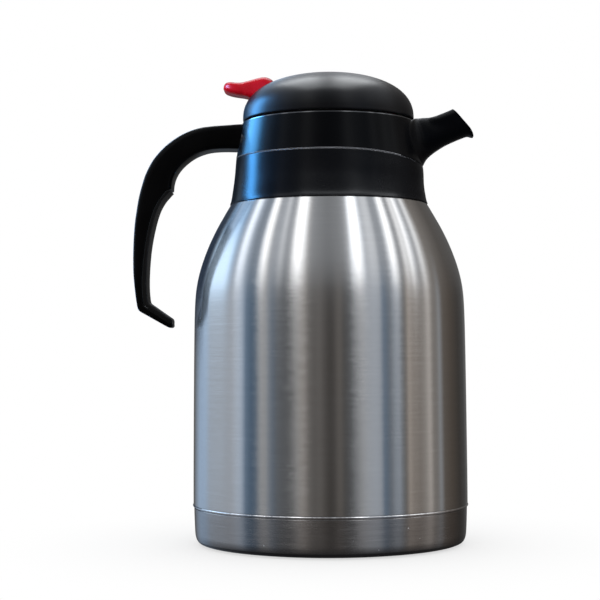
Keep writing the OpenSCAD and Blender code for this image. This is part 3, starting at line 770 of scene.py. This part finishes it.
def build_lever():
    sections = [lever_section(*station) for station in spline(LEVER, 4)]
    lever = new_object("thumb_lever_body", loft_bm(sections), 45)
    cut(lever, "fork_tmp", box_bm((-6.2, -3.3, 225), (8, 3.3, 245)))
    pin = lathe_bm([(0, -PIN_HALF), (PIN_R, -PIN_HALF), (PIN_R, PIN_HALF), (0, PIN_HALF)], 48)
    place = Matrix.Translation((PIN_X * MM, 0, PIN_Z * MM))
    bmesh.ops.transform(pin, matrix=place @ Matrix.Rotation(math.radians(90), 4, "X"),
                        verts=pin.verts)
    cut(lever, "pin_tmp", pin)
    shade(lever, 45)
    finish(lever, [RED], "lever", "thumb_lever")
    return lever


dome = build_dome()
lever = build_lever()

# ------------------------------------------------------------------ return spring
TURNS, TURN_STEPS, WIRE_STEPS = 6, 36, 12
COIL_R, WIRE_R = 4.3, 0.45
SPRING_LOW, SPRING_HIGH = 240.85, 254.55
END_SHARE, END_PITCH = 0.12, 0.45    # share of the wire in each close end, and its pitch
END_RISE = END_SHARE * END_PITCH


def spring_rise(u):
    """Share of the spring's height reached at share u of its wire."""
    if u < END_SHARE:
        return u * END_PITCH
    if u > 1 - END_SHARE:
        return 1 - (1 - u) * END_PITCH
    return END_RISE + (u - END_SHARE) * (1 - 2 * END_RISE) / (1 - 2 * END_SHARE)


sections = []
for i in range(TURNS * TURN_STEPS + 1):
    turn = 2 * math.pi * i / TURN_STEPS
    z = SPRING_LOW + (SPRING_HIGH - SPRING_LOW) * spring_rise(i / (TURNS * TURN_STEPS))
    wire = [2 * math.pi * k / WIRE_STEPS for k in range(WIRE_STEPS)]
    sections.append([((COIL_R + WIRE_R * math.cos(a)) * math.cos(turn),
                      (COIL_R + WIRE_R * math.cos(a)) * math.sin(turn),
                      z + WIRE_R * math.sin(a)) for a in wire])
spring = new_object("valve_return_spring", loft_bm(sections), 60)
finish(spring, [WIRE], "lid", "return_spring")
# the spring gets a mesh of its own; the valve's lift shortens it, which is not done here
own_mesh(spring)

# ------------------------------------------------------------------ parts that keep their CAD shape
for material, names in (
        (LINER, "inner_liner liner_bottom vacuum_pan"), (SOLDER, "seal_bead"),
        (GETTER, "getter"), (RUBBER, "foot_pad"), (WHITE, "valve_stem"),
        (SILICONE, "neck_gasket plug_seal lid_o_ring stem_seal valve_washer"),
        (SCREW, "handle_screws deck_screws lever_pin"),
        (PLUG, "lid_plug lid_deck valve_disc valve_cap")):
    for name in names.split():
        slots = NODES[name].data.materials
        slots.clear()
        slots.append(material)

# ------------------------------------------------------------------ floor
FLOOR_HALF, FLOOR_CELLS, FLOOR_Z = 6, 24, -0.0002


def build_floor():
    bm = bmesh.new()
    line = [-FLOOR_HALF + 2 * FLOOR_HALF * i / FLOOR_CELLS for i in range(FLOOR_CELLS + 1)]
    grid = [[bm.verts.new((x, y, FLOOR_Z)) for y in line] for x in line]
    for i in range(FLOOR_CELLS):
        for j in range(FLOOR_CELLS):
            bm.faces.new((grid[i][j], grid[i + 1][j], grid[i + 1][j + 1], grid[i][j + 1]))
    floor = new_object("floor", bm, 30)
    mat = Mat("floor_paper")
    mat.set(Base_Color=mat.mix(mat.remap(mat.noise(scale=3), to=(0, 1)),
                               (0.93, 0.93, 0.93), (0.91, 0.91, 0.915)), Roughness=0.9)
    # the paper glows: fully far from the jug, so it is as bright as the room and shows no horizon,
    # and about two thirds at the jug's foot, which lightens the contact shadow
    away = mat.node("ShaderNodeVectorMath", {0: mat.place}, operation="LENGTH").outputs["Value"]
    glow = mat.node("ShaderNodeEmission", {"Color": (1, 1, 1)}).outputs[0]
    mat.set_surface(mat.mix_shader(mat.smooth(away, over=(-0.12, 0.20)),
                                   mat.principled.outputs[0], glow))
    floor.data.materials.append(mat.material)
    floor.visible_glossy = False


build_floor()

# ------------------------------------------------------------------ world
# White for the camera; what shines mirrors a soft room of tall lights and dark flags.
# Each stop is (place across the body, brightness, tint): place runs from -1 at the left edge
# to 1 at the right, and tint is cool above 0 and warm below.
# On the upright wall:
LOW_LEFT = [
    (-1.0, 0.12), (-0.985, 0.15), (-0.96, 0.45, 0.8), (-0.94, 0.66, 1.0), (-0.90, 0.66, 1.0),
    (-0.86, 0.57, 0.5), (-0.80, 0.57, 0.4), (-0.70, 0.61, 0.4), (-0.65, 0.72, 0.6),
    (-0.628, 0.66, 0.7), (-0.60, 0.28, 1.3), (-0.56, 0.17, 1.6), (-0.525, 0.19, 1.2),
    (-0.505, 0.32, 0.4), (-0.485, 0.45, 0.2), (-0.47, 0.43, 0.1), (-0.455, 0.47, 0.2),
    (-0.43, 0.31, 0.6), (-0.40, 0.19, 0.9), (-0.37, 0.145, 0.4), (-0.30, 0.13, 0.2),
    (-0.27, 0.12, 0.1), (-0.235, 0.26), (-0.205, 0.34, -0.3), (-0.178, 0.33, -0.3),
    (-0.15, 0.18, -0.3), (-0.11, 0.13, -0.3), (-0.07, 0.16, -0.3), (-0.04, 0.10, -0.4),
    (0.0, 0.05, -0.6)]
LOW_RIGHT = [
    (0.0, 0.05, -0.6), (0.03, 0.07, -0.4), (0.055, 0.13, -0.4), (0.075, 0.15, -0.4),
    (0.10, 0.085, -0.2), (0.14, 0.105, 0.2), (0.17, 0.18, 0.2), (0.205, 0.31, 0.2),
    (0.24, 0.47, 0.2), (0.27, 0.56, 0.3), (0.325, 0.58, 0.4), (0.36, 0.52, 0.4),
    (0.378, 0.28, 1.0), (0.40, 0.22, 1.1), (0.43, 0.24, 0.5), (0.455, 0.36, 0.5),
    (0.49, 0.42, 0.5), (0.515, 0.24, 0.3), (0.54, 0.20, -0.3), (0.562, 0.43, -0.5),
    (0.59, 0.31, -0.5), (0.64, 0.25, -0.5), (0.68, 0.36, -0.3), (0.712, 0.55, -0.3),
    (0.74, 0.27, -0.3), (0.765, 0.26, -0.2), (0.788, 0.40, 0.2), (0.815, 0.14, -0.6),
    (0.87, 0.09, -0.8), (0.93, 0.05, -0.4), (0.97, 0.08), (1.0, 0.2)]
# the same lights higher up, where they are much brighter
HIGH_LEFT = [
    (-1.0, 0.16, 0.2), (-0.93, 0.11, 1.0), (-0.885, 0.40, 1.6), (-0.845, 1.4, 1.2),
    (-0.80, 1.35, 1.5), (-0.745, 0.52, 1.3), (-0.71, 0.75, 0.6), (-0.68, 1.9, 0.4),
    (-0.655, 1.6, 0.4), (-0.625, 0.65, 0.6), (-0.585, 0.38, 0.6), (-0.545, 0.45, 0.6),
    (-0.523, 1.5, 0.2), (-0.497, 2.4, 0.1), (-0.475, 1.5, 0.1), (-0.45, 0.60, 0.3),
    (-0.405, 0.62, 0.3), (-0.37, 1.0, 0.2), (-0.33, 0.50, 0.3), (-0.30, 0.70, 0.2),
    (-0.272, 2.0, 0.1), (-0.235, 2.7, 0.1), (-0.202, 1.8, 0.1), (-0.165, 0.62, 0.1),
    (-0.135, 0.44, 0.2), (-0.09, 0.37, 0.2), (-0.03, 0.32, 0.2), (0.0, 0.31, 0.2)]
HIGH_RIGHT = [
    (0.0, 0.31, 0.2), (0.07, 0.35, 0.2), (0.115, 0.43, 0.2), (0.15, 0.70, 0.2),
    (0.175, 1.9, 0.2), (0.22, 2.7, 0.1), (0.252, 1.7, 0.2), (0.275, 0.84, 0.3),
    (0.295, 0.82, 0.2), (0.32, 0.98, 0.2), (0.355, 0.92, 0.2), (0.385, 0.50, 0.3),
    (0.43, 0.50, 0.3), (0.455, 1.1, 0.2), (0.48, 2.4, 0.1), (0.505, 1.8, 0.1),
    (0.527, 0.60, 0.2), (0.547, 0.42, 0.2), (0.565, 0.9, 0.1), (0.58, 1.5, 0.1),
    (0.60, 1.1, 0.1), (0.622, 2.1, 0.1), (0.645, 1.1, 0.2), (0.67, 0.48, 0.2),
    (0.705, 1.4, 0.1), (0.73, 0.62), (0.755, 0.27, -0.3), (0.81, 0.20, -0.3),
    (0.88, 0.12, -0.3), (1.0, 0.12)]


def tinted(brightness, tint=0.0):
    blue = 0.35 if tint > 0 else 0.2
    return (brightness * (1 - 0.25 * tint), brightness, brightness * (1 + blue * tint))


def laid(stops, shift=0.0):
    return [(place + shift, tinted(*light)) for place, *light in stops]


def build_world():
    world = bpy.data.worlds.new("studio")
    scene.world = world
    world.use_nodes = True
    world.node_tree.nodes.clear()
    sky = Graph(world.node_tree)
    x, y, z = sky.xyz(sky.node("ShaderNodeTexCoord").outputs["Generated"])
    # A tall light keeps its place across the body at every height, so lights are laid out by
    # across (-1 at the body's left edge, 1 at its right) and climb (0 on the wall, 1 on a
    # steep shoulder).
    facing = sky.times(sky.add(y, -1.0), -1.0)
    reach = sky.math("SQRT", sky.add(sky.times(x, x), sky.times(facing, facing)))
    climb = sky.times(z, sky.math("DIVIDE", reach, sky.math("MAXIMUM", facing, 0.05)))
    across = sky.math("DIVIDE", x, sky.math("MAXIMUM", reach, 0.0001))
    right_place = sky.math("ABSOLUTE", across)
    left_place = sky.math("SUBTRACT", 1.0, right_place)
    # the halves meet sharply in front and blend softly behind
    blur = sky.add(sky.times(sky.smooth(y, over=(0.80, 0.97)), 0.16), 0.002)
    is_right = sky.smooth(sky.math("DIVIDE", x, blur), over=(-1.0, 1.0))

    def lights(left, right):
        return sky.mix(is_right, sky.ramp(left_place, laid(left, shift=1.0)),
                       sky.ramp(right_place, laid(right)))

    def falling(value, over):
        return sky.math("SUBTRACT", 1.0, sky.smooth(value, over))

    def band(value, rise, fall):
        return sky.times(sky.smooth(value, rise), falling(value, fall))

    room = sky.mix(sky.smooth(climb, over=(0.0, 0.78)), lights(LOW_LEFT, LOW_RIGHT),
                   lights(HIGH_LEFT, HIGH_RIGHT))
    # a cool window half way up on the handle's side
    window = sky.times(band(across, rise=(-0.95, -0.88), fall=(-0.79, -0.71)),
                       band(climb, rise=(0.05, 0.45), fall=(0.72, 0.9)))
    room = sky.mix(window, room, (1.25, 1.65, 2.1))
    # a dark flag at the far left edge, where the shoulder turns away
    flag = sky.times(falling(across, over=(-0.955, -0.90)),
                     band(climb, rise=(0.03, 0.12), fall=(0.85, 1.2)))
    room = sky.mix(flag, room, (0.03, 0.045, 0.075))
    # the room darkens below the horizon, then turns an even dark grey
    below = sky.times(z, -1.0)
    room = sky.mix(sky.times(sky.smooth(below, over=(-0.02, 0.22)), 0.3), room,
                   (0.02, 0.02, 0.02))
    room = sky.mix(sky.smooth(below, over=(0.15, 0.85)), room, (0.09, 0.09, 0.095))
    is_glossy = sky.node("ShaderNodeLightPath").outputs["Is Glossy Ray"]
    white, mirrored = (
        sky.node("ShaderNodeBackground", {"Color": colour, "Strength": 1.0}).outputs[0]
        for colour in ((1, 1, 1), room))
    sky.node("ShaderNodeOutputWorld", {"Surface": sky.mix_shader(is_glossy, white, mirrored)})
    for node in sky.tree.nodes:
        if node.type == "MATH":
            node.inputs[2].default_value = 0.0    # no operation here reads it


build_world()


# ------------------------------------------------------------------ lights
def area_light(name, location, rotation, size, radiance, colour, lit):
    """Rectangular light that only reaches the object lit."""
    light = bpy.data.lights.new(name, "AREA")
    light.shape, light.size, light.size_y = "RECTANGLE", *size
    light.energy, light.color = radiance * math.pi * size[0] * size[1], colour
    ob = bpy.data.objects.new(name, light)
    scene.collection.objects.link(ob)
    ob.location = location
    ob.rotation_mode = "QUATERNION"
    ob.rotation_quaternion = rotation
    ob.visible_camera = False
    receivers = bpy.data.collections.new(name + "_on")
    receivers.objects.link(lit)
    ob.light_linking.receiver_collection = receivers


def softbox(name, azimuth, elevation, distance=1.4, target=(0, 0, 0.2), **light):
    """Light aimed at target; azimuth is in degrees from -Y toward +X."""
    a, e = math.radians(azimuth), math.radians(elevation)
    center = Vector(target)
    location = center + distance * Vector(
        (math.sin(a) * math.cos(e), -math.cos(a) * math.cos(e), math.sin(e)))
    area_light(name, location, (center - location).to_track_quat("-Z", "Y"), **light)


def overhead(name, direction, target=(0, 0, 0.24), **light):
    """Panel above the jug whose width stays along X."""
    z = Vector(direction).normalized()
    x = (Vector((1, 0, 0)) - z * z.x).normalized()
    rotation = Matrix((x, z.cross(x), z)).transposed().to_quaternion()
    area_light(name, Vector(target) + z * 1.2, rotation, **light)


# blue strips for the black head, and a cool glint on the lever
softbox("blue_strip_ring", azimuth=-116, elevation=12, size=(0.66, 1.0), radiance=40.0,
        colour=(0.09, 0.44, 1.0), lit=ring)
softbox("blue_strip", azimuth=-107, elevation=12, size=(0.40, 1.0), radiance=72.0,
        colour=(0.08, 0.41, 1.0), lit=collar)
softbox("blue_strip_top", azimuth=-112, elevation=14, size=(0.50, 1.0), radiance=27.0,
        colour=(0.09, 0.42, 1.0), lit=dome)
softbox("cool_glint", azimuth=-46, elevation=6, size=(0.80, 1.2), radiance=64.0,
        colour=(0.36, 0.47, 1.0), target=(-0.055, 0, 0.25), lit=lever)
overhead("lever_top", direction=(0.0, 0.25, 0.97), size=(1.0, 0.8), radiance=7.0,
         colour=(1.0, 0.84, 0.90), target=(-0.045, 0, 0.25), lit=lever)
# edge lights for the handle's outer side
softbox("handle_edge", azimuth=-155, elevation=8, size=(0.5, 1.2), radiance=6.0,
        colour=(0.22, 0.5, 1.0), lit=handle)
softbox("handle_back", azimuth=-172, elevation=28, size=(1.0, 0.5), radiance=5.0,
        colour=(0.9, 0.95, 1.0), lit=handle)
# two panels over the dome with a narrow gap between them
overhead("panel_left", direction=(-0.24, 0.20, 0.94), size=(0.46, 1.25), radiance=7.2,
         colour=(0.93, 0.97, 1.0), lit=dome)
overhead("panel_right", direction=(0.21, 0.20, 0.94), size=(0.40, 1.25), radiance=7.9,
         colour=(0.95, 0.98, 1.0), lit=dome)
# panels for the collar's flare: name, azimuth, elevation, size, radiance
for name, azimuth, elevation, size, radiance in (
        ("flare_front", 2, 38, (1.3, 0.30), 8.0),
        ("flare_right", 60, 34, (1.2, 0.30), 8.0),
        ("flare_left", -50, 37, (0.8, 0.26), 2.4)):
    softbox(name, azimuth, elevation, distance=1.2, target=(0, 0, 0.19), size=size,
            radiance=radiance, colour=(0.93, 0.96, 1.0), lit=collar)

# ------------------------------------------------------------------ camera
CAMERA_PLACE = (0, -0.8495, 0.10535)
YAW, PITCH, ROLL = 1.09, 1.86, -0.28    # degrees; pitch is upward from level

camera = bpy.data.cameras.new("camera")
camera.sensor_width, camera.lens = 36.0, 92.4
camera.clip_start, camera.clip_end = 0.05, 50
camera_ob = bpy.data.objects.new("camera", camera)
scene.collection.objects.link(camera_ob)
camera_ob.matrix_world = (Matrix.Translation(CAMERA_PLACE)
                          @ Matrix.Rotation(math.radians(YAW), 4, "Z")
                          @ Matrix.Rotation(math.radians(90 + PITCH), 4, "X")
                          @ Matrix.Rotation(math.radians(ROLL), 4, "Z"))
scene.camera = camera_ob
scene.view_settings.view_transform = "Standard"
scene.view_settings.look = "None"
